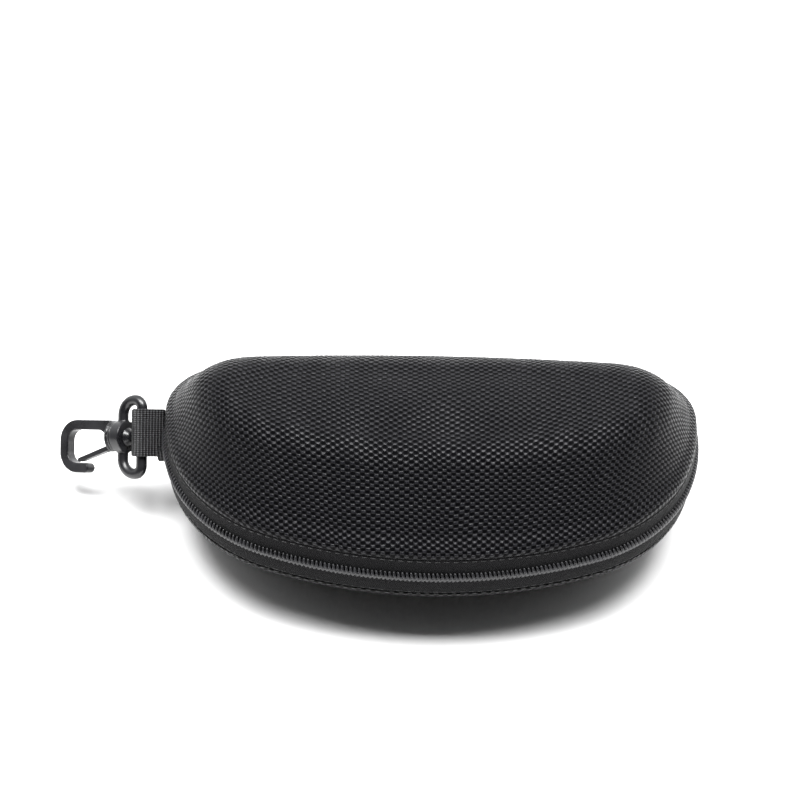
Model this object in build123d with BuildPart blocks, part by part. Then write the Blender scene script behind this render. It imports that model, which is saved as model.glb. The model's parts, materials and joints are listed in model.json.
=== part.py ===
from build123d import *
from math import cos, radians, sin, sqrt, tan
import os

# Zipped hard-shell glasses case with a swivel snap hook. Millimetres, +Z up, +X along the case.
# The origin is the middle of the flat face that the case rests on. The front of the case faces -Y
# and its fabric hinge is at the back. Two moulded shells meet in a zip band, half way up.

os.makedirs("parts", exist_ok=True)

# --- plan outline of the zip band: five tangent arcs on each side of the middle ---
half_width = 80.0
widest_y = 15.0
front_turn = 21.2
corner_turn = 47.2
side_turn = 21.7
rear_turn = 84.6
corner_radius = 49.2
side_radius = 60.7
rear_radius = 19.6

# --- moulded shells ---
shell_height = 28.6
band_half = 7.0
band_inset = 1.4
front_slope = 45.0
side_slope = 60.0
back_slope = 52.0
shoulder_radius = 14.0
cover_thickness = 0.8
core_thickness = 3.0
lining_thickness = 0.8
lip_edge = 3.5
binding_thickness = 0.7

# --- zip and hinge ---
tape_thickness = 0.8
tape_gap = 0.5
coil_top = 2.4
split_setback = 10.0
hinge_half = 44.0
hinge_gap = 0.2
end_tab_length = 3.0
end_tab_thickness = 0.5
stop_length = 2.2
fabric_gap = 0.15
relief_reach = 12.0

# --- slider and puller ---
slider_angle = 84.0
slider_gap = 0.45
plate_length = 11.0
plate_half = 3.6
plate_thickness = 1.2
flange_thickness = 0.8
inner_plate_length = 7.0
inner_plate_half = 2.2
inner_plate_thickness = 0.9
post_length = 2.6
post_thickness = 0.7
lug_length = 2.6
lug_depth = 3.2
pin_radius = 0.65
pin_clearance = 0.08
puller_arm = 1.1
puller_gap = 0.25
puller_thickness = 1.4
puller_neck = 4.0
puller_length = 15.0
puller_width = 6.4

# --- webbing tab, swivel ring and snap hook ---
bar_reach = 5.9
bar_setback = 2.31
bar_drop = 1.77
hook_axis = (-0.8364, 0.388, -0.3873)
ring_axis = (-0.0069, 0.6989, 0.7152)
ring_length = 25.2
ring_width = 10.4
ring_thickness = 3.3
bar_bend = 2.4
hub_bend = 4.4
hub_radius = 4.8
hub_thickness = 3.3
hub_bore = 2.3
swivel_clearance = 0.1
axial_gap = 0.2
head_radius = 2.9
head_length = 1.6
collar_radius = 4.6
collar_length = 2.0
collar_groove = 0.5
hook_length = 19.3
hook_width = 16.0
hook_bar = 3.0
hook_thickness = 3.6
bow_radius = 6.4
bow_shift = -3.1
nose_reach = 6.5
gate_thickness = 1.3
gate_width = 2.8
gate_gap = 0.3
gate_pin_radius = 0.8
webbing_width = 14.2
webbing_thickness = 1.3
webbing_clearance = 0.2
webbing_shift = 1.3
webbing_standoff = 0.3
foot_width = 5.0
foot_drop = 3.4

# --- sizes that follow ---
zip_z = shell_height
zip_split_x = half_width - split_setback
corner_end = front_turn + corner_turn
side_end = corner_end + side_turn
rear_end = side_end + rear_turn
corner_reach = corner_radius * (sin(radians(corner_end)) - sin(radians(front_turn)))
side_reach = side_radius * (1 - sin(radians(corner_end)))
front_radius = (half_width - corner_reach - side_reach) / sin(radians(front_turn))
front_depth = (
    front_radius * (1 - cos(radians(front_turn)))
    + corner_radius * (cos(radians(front_turn)) - cos(radians(corner_end)))
    + side_radius * cos(radians(corner_end))
)
front_y = widest_y - front_depth
rear_start_x = half_width - side_radius * (1 - sin(radians(side_end)))
rear_start_y = widest_y - side_radius * cos(radians(side_end))
rear_centre_x = rear_start_x - rear_radius * sin(radians(side_end))
rear_centre_y = rear_start_y + rear_radius * cos(radians(side_end))
rear_end_x = rear_centre_x + rear_radius * sin(radians(rear_end))
back_radius = rear_end_x / sin(radians(180 - rear_end))
rear_end_y = rear_centre_y - rear_radius * cos(radians(rear_end))
back_y = rear_end_y + back_radius * (1 - cos(radians(180 - rear_end)))
plan_depth = back_y - front_y
hinge_y = back_y - band_inset

arc_steps = (
    (front_radius, front_turn),
    (corner_radius, corner_turn),
    (side_radius, side_turn),
    (rear_radius, rear_turn),
    (back_radius, 180 - rear_end),
)


def rim_face(inset, height):
    """The band's outline, moved inwards by inset: the same arcs about the same centres."""
    with BuildSketch(Plane.XY.offset(height)) as face:
        with BuildLine():
            start = (0, front_y + inset)
            tangent = (1, 0)
            for radius, turn in arc_steps:
                arc = JernArc(start=start, tangent=tangent, radius=radius - inset, arc_size=turn)
                start = arc @ 1
                tangent = arc % 1
            mirror(about=Plane.YZ)
        make_face()
    return face.sketch


def ring_face(outer_inset, inner_inset, height):
    """The strip of plan between two insets of the band's outline."""
    with BuildSketch(Plane.XY.offset(height)) as face:
        add(rim_face(outer_inset, 0))
        add(rim_face(inner_inset, 0), mode=Mode.SUBTRACT)
    return face.sketch


def back_slab(x_low, x_high):
    """The room round the band, behind the widest line, between two x values."""
    with BuildPart() as slab:
        with Locations(((x_low + x_high) / 2, widest_y + half_width / 2, zip_z)):
            Box(x_high - x_low, half_width, 4 * band_half)
    return slab.part


def lip_face(outer_inset, inner_inset, side):
    """Plan of a shell's straight lip; the lid's stays clear of the zip's closed ends."""
    relief_width = zip_split_x + fabric_gap - hinge_half
    relief_x = hinge_half + relief_width / 2
    with BuildSketch() as face:
        add(ring_face(outer_inset, inner_inset, 0))
        if side == 1:
            with Locations((relief_x, hinge_y), (-relief_x, hinge_y)):
                Rectangle(relief_width, 2 * relief_reach, mode=Mode.SUBTRACT)
    return face.sketch


def wall_inset(slope, depth, height):
    """How far a wall at this depth under the cover's face stands in from the band, at a height
    above the zip: a straight slope, then a shoulder arc that is level at the top."""
    radius = shoulder_radius - depth
    top = shell_height - depth
    shoulder = top - radius * (1 - cos(radians(slope)))
    base = band_inset + depth / sin(radians(slope))
    if height <= shoulder:
        return base + (height - band_half) / tan(radians(slope))
    drop = top - height
    shoulder_inset = base + (shoulder - band_half) / tan(radians(slope))
    return shoulder_inset + radius * sin(radians(slope)) - sqrt(2 * radius * drop - drop**2)


def wall_face(depth, height, side):
    """A level section of a moulded shell; side is 1 for the lid and -1 for the bottom."""
    front = wall_inset(front_slope, depth, height)
    end = wall_inset(side_slope, depth, height)
    back = wall_inset(back_slope, depth, height)
    fixed_y = front_y + front * plan_depth / (front + back)
    x_scale = (half_width - end) / half_width
    y_scale = (plan_depth - front - back) / plan_depth
    with BuildSketch(Plane.XY.offset(zip_z + side * height)) as face:
        scale(rim_face(0, 0), by=(x_scale, y_scale, 1), about=(0, fixed_y, 0))
    return face.sketch


def shell_sections(depth, side):
    """Level sections from the band's edge to the flat top of the moulded shell."""
    top = shell_height - depth
    radius = shoulder_radius - depth
    wall = top - band_half
    heights = [band_half + wall * share for share in (0.28, 0.56)]
    heights += [top - radius * (1 - cos(radians(angle))) for angle in (42, 28, 14, 0)]
    faces = [rim_face(band_inset + depth, zip_z + side * band_half)]
    return faces + [wall_face(depth, height, side) for height in heights]


core_depth = cover_thickness
lining_depth = core_depth + core_thickness
inside_depth = lining_depth + lining_thickness
lip_inset = band_inset + tape_thickness
lip_length = band_half - lip_edge

for name, side in (("top", 1), ("bottom", -1)):
    edge_z = zip_z + side * lip_edge

    with BuildPart() as cover:
        loft(sections=shell_sections(0, side))
        loft(sections=shell_sections(core_depth, side), mode=Mode.SUBTRACT)
    cover.part.label = f"{name}_cover"
    export_step(cover.part, f"parts/{name}_cover.step")

    with BuildPart() as core:
        loft(sections=shell_sections(core_depth, side))
        loft(sections=shell_sections(lining_depth, side), mode=Mode.SUBTRACT)
        with BuildSketch(Plane.XY.offset(edge_z)):
            add(lip_face(band_inset + core_depth, band_inset + lining_depth, side))
        extrude(amount=side * lip_length)
    core.part.label = f"{name}_core"
    export_step(core.part, f"parts/{name}_core.step")

    with BuildPart() as lining:
        loft(sections=shell_sections(lining_depth, side))
        loft(sections=shell_sections(inside_depth, side), mode=Mode.SUBTRACT)
        with BuildSketch(Plane.XY.offset(edge_z)):
            add(lip_face(band_inset + lining_depth, band_inset + inside_depth, side))
        extrude(amount=side * lip_length)
    lining.part.label = f"{name}_lining"
    export_step(lining.part, f"parts/{name}_lining.step")

    with BuildPart() as binding:
        with BuildSketch(Plane.XY.offset(edge_z - side * binding_thickness)):
            add(lip_face(lip_inset, band_inset + inside_depth, side))
        extrude(amount=side * binding_thickness)
    binding.part.label = f"{name}_rim_binding"
    export_step(binding.part, f"parts/{name}_rim_binding.step")

    with BuildPart() as tape:
        strip = ring_face(band_inset, lip_inset, zip_z + side * tape_gap)
        extrude(strip, amount=side * (band_half - tape_gap))
        add(back_slab(-zip_split_x, zip_split_x), mode=Mode.SUBTRACT)
    tape.part.label = f"{name}_zip_tape"
    export_step(tape.part, f"parts/{name}_zip_tape.step")

    with BuildPart() as coil:
        strip = ring_face(0, band_inset, zip_z + side * tape_gap)
        extrude(strip, amount=side * (coil_top - tape_gap))
        add(back_slab(-zip_split_x, zip_split_x), mode=Mode.SUBTRACT)
    coil.part.label = f"{name}_zip_coil"
    export_step(coil.part, f"parts/{name}_zip_coil.step")

    with BuildPart() as hinge_strip:
        strip = ring_face(band_inset, lip_inset, zip_z + side * hinge_gap)
        extrude(strip, amount=side * (band_half - hinge_gap))
        add(back_slab(-hinge_half, hinge_half), mode=Mode.INTERSECT)
    hinge_strip.part.label = f"{name}_hinge_strip"
    export_step(hinge_strip.part, f"parts/{name}_hinge_strip.step")

# Closed ends of the zip, beside the hinge: both tapes under a folded tab, with their coils.
end_start = hinge_half + fabric_gap
end_stop = zip_split_x - fabric_gap
tab_x = end_start + end_tab_length / 2
top_stop_x = end_start + end_tab_length + fabric_gap + stop_length / 2
bottom_stop_x = -(end_stop - stop_length / 2)
right_chain = (top_stop_x + stop_length / 2 + fabric_gap, end_stop)
left_chain = (bottom_stop_x + stop_length / 2 + fabric_gap, -end_start - end_tab_length - fabric_gap)

for name, hand, chain_ends in (("right", 1, right_chain), ("left", -1, left_chain)):
    low_x = min(hand * end_start, hand * end_stop)
    with BuildPart() as zip_end:
        for side in (1, -1):
            strip = ring_face(band_inset, lip_inset, zip_z + side * tape_gap)
            extrude(strip, amount=side * (band_half - tape_gap - fabric_gap))
        add(back_slab(low_x, low_x + end_stop - end_start), mode=Mode.INTERSECT)
        with BuildSketch(Plane.XY.offset(zip_z - band_half + fabric_gap)):
            with Locations((hand * tab_x, back_y)):
                Rectangle(end_tab_length, 2 * band_half)
            add(ring_face(band_inset - end_tab_thickness, lip_inset, 0), mode=Mode.INTERSECT)
        extrude(amount=2 * (band_half - fabric_gap))
    zip_end.part.label = f"{name}_zip_end"
    export_step(zip_end.part, f"parts/{name}_zip_end.step")

    with BuildPart() as chain:
        for side in (1, -1):
            strip = ring_face(0, band_inset, zip_z + side * tape_gap)
            extrude(strip, amount=side * (coil_top - tape_gap))
        add(back_slab(*chain_ends), mode=Mode.INTERSECT)
    chain.part.label = f"{name}_zip_chain"
    export_step(chain.part, f"parts/{name}_zip_chain.step")

# One stop ties both coils together at the left end; each coil has its own at the right.
with BuildPart() as bottom_stop:
    strip = ring_face(0, band_inset, zip_z - coil_top)
    extrude(strip, amount=2 * coil_top)
    add(back_slab(bottom_stop_x - stop_length / 2, bottom_stop_x + stop_length / 2), mode=Mode.INTERSECT)
bottom_stop.part.label = "zip_bottom_stop"
export_step(bottom_stop.part, "parts/zip_bottom_stop.step")

with BuildPart() as top_stops:
    for side in (1, -1):
        strip = ring_face(0, band_inset, zip_z + side * tape_gap)
        extrude(strip, amount=side * (coil_top - tape_gap))
    add(back_slab(top_stop_x - stop_length / 2, top_stop_x + stop_length / 2), mode=Mode.INTERSECT)
top_stops.part.label = "zip_top_stops"
export_step(top_stops.part, "parts/zip_top_stops.step")

# Slider: a local frame with X along the zip, Y out of the case and Z up.
slider_out = (cos(radians(slider_angle)), sin(radians(slider_angle)), 0)
slider_origin = (
    rear_centre_x + rear_radius * slider_out[0],
    rear_centre_y + rear_radius * slider_out[1],
    zip_z,
)
slider_plane = Plane(origin=slider_origin, x_dir=(0, 0, 1), z_dir=slider_out)
outer_face = slider_gap + plate_thickness
inner_top = -lip_inset - 2 * slider_gap
post_shift = plate_length / 2 - post_length
flange_depth = slider_gap + 0.6 * band_inset
flange_middle = plate_half - flange_thickness / 2
pin_out = outer_face + lug_depth / 2

with BuildPart() as slider:
    with BuildSketch(slider_plane.offset(slider_gap)):
        RectangleRounded(2 * plate_half, plate_length, 1.5)
    extrude(amount=plate_thickness)
    with BuildSketch(slider_plane.offset(slider_gap)):
        with Locations((flange_middle, 0), (-flange_middle, 0)):
            Rectangle(flange_thickness, plate_length - 4)
    extrude(amount=-flange_depth)
    with BuildSketch(slider_plane.offset(inner_top)):
        RectangleRounded(2 * inner_plate_half, inner_plate_length, 1)
    extrude(amount=-inner_plate_thickness)
    with BuildSketch(slider_plane.offset(inner_top)):
        with Locations((0, post_shift)):
            Rectangle(post_thickness, post_length)
    extrude(amount=slider_gap - inner_top)
    with BuildSketch(slider_plane.offset(outer_face)):
        Rectangle(lug_depth, lug_length)
    extrude(amount=lug_depth)
    with Locations(slider_plane * Location((0, 0, pin_out), (90, 0, 0))):
        Hole(radius=pin_radius + pin_clearance, depth=2 * lug_length)
slider.part.label = "slider_body"
export_step(slider.part, "parts/slider_body.step")

# Puller: a stirrup whose pin runs in the slider's lug, and a tab that hangs below it.
arm_middle = lug_length / 2 + puller_gap + puller_arm / 2
arm_span = 2 * arm_middle + puller_arm
tab_top = puller_neck + puller_arm / 2
tab_middle = -(tab_top + puller_length / 2)
with BuildPart() as puller:
    with BuildSketch(slider_plane.offset(pin_out - puller_thickness / 2)):
        with Locations((-puller_neck / 2, arm_middle), (-puller_neck / 2, -arm_middle)):
            Rectangle(puller_neck + 2 * pin_radius, puller_arm)
        with Locations((-puller_neck, 0)):
            Rectangle(puller_arm, arm_span)
        with Locations((tab_middle, 0)):
            RectangleRounded(puller_length, puller_width, 2.2)
        with Locations((tab_middle - puller_length / 4, 0)):
            SlotOverall(4.4, 2.2, rotation=90, mode=Mode.SUBTRACT)
    extrude(amount=puller_thickness)
    with Locations(slider_plane * Location((0, 0, pin_out), (90, 0, 0))):
        Cylinder(radius=pin_radius, height=arm_span)
puller.part.label = "puller"
export_step(puller.part, "parts/puller.step")

# Swivel hardware: a local frame with X along the hook, Y along the ring's long side.
axis = Vector(*hook_axis).normalized()
ring_tilt = Vector(*ring_axis)
along_ring = (ring_tilt - axis * axis.dot(ring_tilt)).normalized()
ring_normal = axis.cross(along_ring)
bar_centre = Vector(-(half_width + bar_reach), widest_y - bar_setback, zip_z - bar_drop)
hook_plane = Plane(origin=bar_centre, x_dir=axis, z_dir=ring_normal)
ring_radius = ring_thickness / 2
ring_half = ring_length / 2 - ring_radius
hub_x = ring_width - ring_thickness


def across(offset):
    """The plane square to the hook's axis, this far along it from the ring's bar."""
    return Plane(origin=hook_plane.from_local_coords((offset, 0, 0)), z_dir=axis)


with BuildSketch(hook_plane) as ring_outline:
    with Locations((hub_x / 2, 0)):
        Rectangle(hub_x, 2 * ring_half)
    fillet(ring_outline.vertices().group_by(Axis.X)[-1], radius=hub_bend)
    fillet(ring_outline.vertices().group_by(Axis.X)[0], radius=bar_bend)
ring_path = ring_outline.sketch.face().outer_wire()
with BuildPart() as ring:
    with BuildSketch(Plane(origin=ring_path @ 0, z_dir=ring_path % 0)):
        Circle(ring_radius)
    sweep(path=ring_path)
    with BuildSketch(across(hub_x - hub_thickness / 2)):
        Circle(hub_radius)
    extrude(amount=hub_thickness)
    with BuildSketch(across(hub_x - hub_thickness)):
        Circle(hub_bore)
    extrude(amount=2 * hub_thickness, mode=Mode.SUBTRACT)
ring.part.label = "swivel_ring"
export_step(ring.part, "parts/swivel_ring.step")

# Snap hook: head, stem and grooved collar turn in the hub; the flat bow ends in a blunt nose.
stem_radius = hub_bore - swivel_clearance
hub_front = hub_x + hub_thickness / 2 + axial_gap
hub_back = hub_x - hub_thickness / 2 - axial_gap
collar_front = hub_front + collar_length
bow_end = collar_front + hook_length
bow_half = hook_width / 2
inner_half = bow_half - hook_bar
inner_end = bow_end - hook_bar
mouth_end = inner_end - nose_reach
nose_y = bow_shift - (bow_half + inner_half) / 2
gate_root = collar_front + gate_pin_radius + gate_gap
gate_pivot_y = gate_pin_radius + gate_gap - collar_radius
gate_tip_x = mouth_end + nose_reach / 3
gate_tip_y = bow_shift + gate_gap + gate_thickness / 2 - inner_half
with BuildPart() as hook:
    with BuildSketch(across(hub_back)):
        Circle(stem_radius)
    extrude(amount=hub_front - hub_back + collar_length / 2)
    with BuildSketch(across(hub_back)):
        Circle(head_radius)
    with BuildSketch(across(hub_back - head_length)):
        Circle(head_radius / 2)
    loft()
    with BuildSketch(across(hub_front)):
        Circle(collar_radius)
    extrude(amount=collar_length)
    with BuildSketch(across(hub_front + collar_length / 2 - collar_groove / 2)):
        Circle(2 * collar_radius)
        Circle(collar_radius - collar_groove, mode=Mode.SUBTRACT)
    extrude(amount=collar_groove, mode=Mode.SUBTRACT)
    with BuildSketch(hook_plane.offset(-hook_thickness / 2)) as profile:
        with Locations(((collar_front + bow_end) / 2, bow_shift)):
            Rectangle(hook_length, hook_width)
        fillet(profile.vertices().group_by(Axis.X)[-1], radius=bow_radius)
        with Locations(((gate_root + inner_end) / 2, bow_shift)):
            inner_length = inner_end - gate_root
            RectangleRounded(inner_length, 2 * inner_half, bow_radius - hook_bar, mode=Mode.SUBTRACT)
        with Locations(((collar_front + mouth_end) / 2, -collar_radius - hook_width / 2)):
            Rectangle(mouth_end - collar_front, hook_width, mode=Mode.SUBTRACT)
        with Locations((mouth_end, nose_y)):
            Circle(hook_bar / 2)
        with Locations(((hub_front + collar_length / 2 + gate_root) / 2, 0)):
            Rectangle(gate_root - hub_front - collar_length / 2, 2 * collar_radius - 1)
        with Locations((gate_root, gate_pivot_y)):
            Circle(gate_pin_radius + gate_gap / 2, mode=Mode.SUBTRACT)
    extrude(amount=hook_thickness)
hook.part.label = "snap_hook"
export_step(hook.part, "parts/snap_hook.step")

# Gate: a thin tongue from its pivot at the collar to the inside of the nose.
with BuildPart() as gate:
    with BuildSketch(hook_plane.offset(-gate_width / 2)):
        with Locations((gate_root, gate_pivot_y)):
            Circle(gate_pin_radius)
        with Locations((gate_tip_x, gate_tip_y)):
            Circle(gate_thickness / 2)
        make_hull()
    extrude(amount=gate_width)
gate.part.label = "hook_gate"
export_step(gate.part, "parts/hook_gate.step")

# Webbing tab: folded round the ring's bar, its end sewn to the lower tape only.
tab_along = (Vector(1, 0, 0) - along_ring * along_ring.X).normalized()
tab_origin = bar_centre + along_ring * webbing_shift
tab_plane = Plane(origin=tab_origin, x_dir=tab_along, z_dir=along_ring)
wrap_radius = ring_radius + webbing_clearance
tab_face_x = -(half_width + webbing_standoff)
tab_reach = (tab_face_x - tab_origin.X) / tab_along.X
foot_height = band_half - coil_top - 2 * fabric_gap
foot_y = tab_origin.Y - foot_drop
with BuildPart() as tab:
    with BuildSketch(tab_plane.offset(-webbing_width / 2)) as tab_profile:
        Circle(wrap_radius + webbing_thickness)
        with Locations((tab_reach, 0)):
            Rectangle(webbing_thickness, 2 * webbing_thickness)
        make_hull()
        with BuildSketch(mode=Mode.SUBTRACT):
            Circle(wrap_radius)
            with Locations((tab_reach - 2 * webbing_thickness, 0)):
                Rectangle(webbing_clearance, webbing_clearance)
            make_hull()
    extrude(amount=webbing_width)
    with Locations((tab_face_x + half_width, 0, zip_z)):
        Box(2 * half_width, 4 * half_width, 4 * half_width, mode=Mode.SUBTRACT)
    with BuildSketch(Plane.XY.offset(zip_z - band_half + fabric_gap)):
        with Locations((-half_width, foot_y)):
            Rectangle(half_width / 4, foot_width)
        add(ring_face(-webbing_standoff - webbing_thickness, band_inset, 0), mode=Mode.INTERSECT)
    extrude(amount=foot_height)
tab.part.label = "webbing_tab"
export_step(tab.part, "parts/webbing_tab.step")
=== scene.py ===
import json
import math

import bmesh
import bpy
import numpy as np
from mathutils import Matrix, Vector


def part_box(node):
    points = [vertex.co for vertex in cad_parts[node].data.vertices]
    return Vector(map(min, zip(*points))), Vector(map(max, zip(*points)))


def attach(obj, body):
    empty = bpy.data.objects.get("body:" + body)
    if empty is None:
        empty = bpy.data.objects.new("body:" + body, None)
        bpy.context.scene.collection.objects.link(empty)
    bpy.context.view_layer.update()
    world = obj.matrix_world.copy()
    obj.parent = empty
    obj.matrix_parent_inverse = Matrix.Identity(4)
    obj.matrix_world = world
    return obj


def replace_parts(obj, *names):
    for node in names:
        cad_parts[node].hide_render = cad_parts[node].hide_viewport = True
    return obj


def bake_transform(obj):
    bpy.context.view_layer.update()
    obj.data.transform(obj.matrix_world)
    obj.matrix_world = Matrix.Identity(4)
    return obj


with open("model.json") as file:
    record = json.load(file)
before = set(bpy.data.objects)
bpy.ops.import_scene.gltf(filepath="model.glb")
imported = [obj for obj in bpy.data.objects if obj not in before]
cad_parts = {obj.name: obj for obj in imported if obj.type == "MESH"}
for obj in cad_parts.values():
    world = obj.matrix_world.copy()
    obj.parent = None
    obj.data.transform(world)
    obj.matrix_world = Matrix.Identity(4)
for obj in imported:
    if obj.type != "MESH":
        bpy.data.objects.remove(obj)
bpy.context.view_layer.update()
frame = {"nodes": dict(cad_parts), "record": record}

# A zipped hard-shell glasses case: woven cloth over moulded board, a coil zip, a webbing tab and a
# plastic snap hook. Lengths are in millimetres until a mesh is made.
MM = 0.001

# --- the band's outline: five tangent arcs on each side of the middle, as in the frame ---
FRONT_TURN = math.radians(21.2)
CORNER_TURN = math.radians(47.2)
SIDE_TURN = math.radians(21.7)
REAR_TURN = math.radians(84.6)
CORNER_RADIUS = 49.2
SIDE_RADIUS = 60.7
REAR_RADIUS = 19.6
WIDEST_Y = 15.0

COIL_LOW, COIL_HIGH = (np.array(corner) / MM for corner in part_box("bottom_zip_coil"))
LID_LOW, LID_HIGH = (np.array(corner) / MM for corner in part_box("top_cover"))
HALF_WIDTH = COIL_HIGH[0]
FRONT_Y = COIL_LOW[1]
SHELL_HEIGHT = LID_HIGH[2] / 2
ZIP_Z = SHELL_HEIGHT
BAND_HALF = LID_LOW[2] - ZIP_Z
BAND_INSET = HALF_WIDTH - LID_HIGH[0]
HINGE_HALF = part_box("top_hinge_strip")[1].x / MM
FABRIC_GAP = 0.15
SPLIT_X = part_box("right_zip_end")[1].x / MM + FABRIC_GAP

# --- moulded shell: slopes of the walls, the shoulder and the layers ---
FRONT_SLOPE = math.radians(45)
SIDE_SLOPE = math.radians(60)
BACK_SLOPE = math.radians(52)
SHOULDER_RADIUS = 14.0
CROWN = 1.2
COVER = 0.8
LINING_FACE = 4.6
LIP_EDGE = 3.5
LINING_PLY = 0.6
TAPE_THICKNESS = 0.8
TAPE_LOW = 0.4
TAPE_TOP = BAND_HALF - 0.05
TAPE_BULGE = 0.25
END_TOP = BAND_HALF - 0.2

# --- zip and cloth ---
TOOTH_PITCH = 1.24
FILAMENT = 0.62
WEAVE_ACROSS = 2.75
WEAVE_ALONG = 1.9
FLOAT_HEIGHT = 0.06
STITCH_PITCH = 2.6
STITCH_HEIGHT = 6.2
TUBE_SIDES = 6

# =============================== outline and shell surfaces ===============================

TURNS = np.array([FRONT_TURN, CORNER_TURN, SIDE_TURN, REAR_TURN])
HEADINGS = np.concatenate([[0], np.cumsum(TURNS)])
corner_reach = CORNER_RADIUS * (math.sin(HEADINGS[2]) - math.sin(HEADINGS[1]))
side_reach = SIDE_RADIUS * (1 - math.sin(HEADINGS[2]))
front_radius = (HALF_WIDTH - corner_reach - side_reach) / math.sin(FRONT_TURN)
TURNS = np.append(TURNS, math.pi - HEADINGS[4])
RADII = [front_radius, CORNER_RADIUS, SIDE_RADIUS, REAR_RADIUS]
STARTS = [np.array([0.0, FRONT_Y])]
for radius, heading, turn in zip(RADII, HEADINGS, TURNS):
    step = [math.sin(heading + turn) - math.sin(heading), math.cos(heading) - math.cos(heading + turn)]
    STARTS.append(STARTS[-1] + radius * np.array(step))
RADII = np.array(RADII + [STARTS[-1][0] / math.sin(math.pi - HEADINGS[4])])
STARTS = np.array(STARTS)
LENGTHS = np.concatenate([[0], np.cumsum(RADII * TURNS)])
HALF_LENGTH = LENGTHS[-1]
BACK_Y = STARTS[4][1] + RADII[4] * (1 - math.cos(TURNS[4]))
DEPTH = BACK_Y - FRONT_Y


def rim(s, inset=0.0):
    """Points and outward normals of the band's outline at arc lengths s from the front middle, turning
    to the right: each arc's start plus its radius times the change of heading's sine and cosine."""
    s = np.asarray(s, float) % (2 * HALF_LENGTH)
    left = s > HALF_LENGTH
    along = np.where(left, 2 * HALF_LENGTH - s, s)
    arc = np.clip(np.searchsorted(LENGTHS, along, side="right") - 1, 0, 4)
    heading = HEADINGS[arc] + (along - LENGTHS[arc]) / RADII[arc]
    x = STARTS[arc, 0] + RADII[arc] * (np.sin(heading) - np.sin(HEADINGS[arc]))
    y = STARTS[arc, 1] + RADII[arc] * (np.cos(HEADINGS[arc]) - np.cos(heading))
    normal = np.stack([np.sin(heading), -np.cos(heading)], -1)
    sign = np.stack([np.where(left, -1.0, 1.0), np.ones_like(x)], -1)
    normal = normal * sign
    return np.stack([x, y], -1) * sign - normal * np.asarray(inset)[..., None], normal


def back_length(x):
    """Arc length at which the outline passes x on its back half; negative x gives the left side."""
    s = np.linspace(LENGTHS[3], HALF_LENGTH, 2000)
    points, _ = rim(s)
    found = np.interp(-abs(x), -points[:, 0], s)
    return found if x > 0 else 2 * HALF_LENGTH - found


def wall_inset(slope, depth, height):
    """How far a wall stands in from the band at a height above the zip: a straight slope, then a
    shoulder arc that is level at the top."""
    radius = SHOULDER_RADIUS - depth
    top = SHELL_HEIGHT - depth
    shoulder = top - radius * (1 - math.cos(slope))
    base = BAND_INSET + depth / math.sin(slope)
    straight = base + (height - BAND_HALF) / math.tan(slope)
    turn_in = base + (shoulder - BAND_HALF) / math.tan(slope) + radius * math.sin(slope)
    drop = np.clip(top - height, 0, radius)
    return np.where(height <= shoulder, straight, turn_in - np.sqrt(2 * radius * drop - drop**2))


def shell_section(s, height, depth):
    """Plan points of a moulded shell at one height: the outline scaled to the insets of its front,
    ends and back, eased out of the outline's exact offset just above the band."""
    front = wall_inset(FRONT_SLOPE, depth, height)
    end = wall_inset(SIDE_SLOPE, depth, height)
    back = wall_inset(BACK_SLOPE, depth, height)
    points, _ = rim(s)
    x = points[:, 0] * (HALF_WIDTH - end) / HALF_WIDTH
    y = FRONT_Y + front + (points[:, 1] - FRONT_Y) * (DEPTH - front - back) / DEPTH
    exact, _ = rim(s, BAND_INSET + depth)
    ease = np.clip((height - BAND_HALF) / 5, 0, 1)
    ease = ease * ease * (3 - 2 * ease)
    return (1 - ease) * exact + ease * np.stack([x, y], -1)


def shell_surface(depth, around, wall_rows, top_rows, crown, lip_rows=0, relieved=False):
    """A grid of points from the band's edge over the wall and shoulder to the middle of the top.
    Rows on the wall are even in height, rows on the shoulder even in angle, and rows on the top shrink
    the last section to its middle, raised by crown times (1 - r squared) to the power 1.5. A relieved
    lip has no height beside the hinge, where the closed ends of the zip are."""
    s = np.arange(around) * 2 * HALF_LENGTH / around
    top = SHELL_HEIGHT - depth
    radius = SHOULDER_RADIUS - depth
    shoulder = top - radius * (1 - math.cos(SIDE_SLOPE))
    heights = list(np.linspace(BAND_HALF, shoulder, wall_rows, endpoint=False))
    angles = np.linspace(SIDE_SLOPE, 0, wall_rows)
    heights += list(top - radius * (1 - np.cos(angles)))
    rows = [np.column_stack([shell_section(s, h, depth), np.full(around, h)]) for h in heights]
    lip = rim(s, BAND_INSET + depth)[0]
    beside = (abs(lip[:, 0]) > HINGE_HALF) & (abs(lip[:, 0]) < SPLIT_X + 0.5) & (lip[:, 1] > WIDEST_Y)
    for height in np.linspace(LIP_EDGE, BAND_HALF, lip_rows, endpoint=False)[::-1]:
        rows.insert(0, np.column_stack([lip, np.where(beside & relieved, BAND_HALF, height)]))
    edge = rows[-1][:, :2]
    middle = np.array([0.0, (edge[:, 1].min() + edge[:, 1].max()) / 2])
    for share in np.linspace(1, 0, top_rows + 1)[1:]:
        plan = middle + (edge - middle) * share
        rise = top + crown * (1 - share * share) ** 1.5
        rows.append(np.column_stack([plan, np.full(around, rise)]))
    return np.array(rows)


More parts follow.
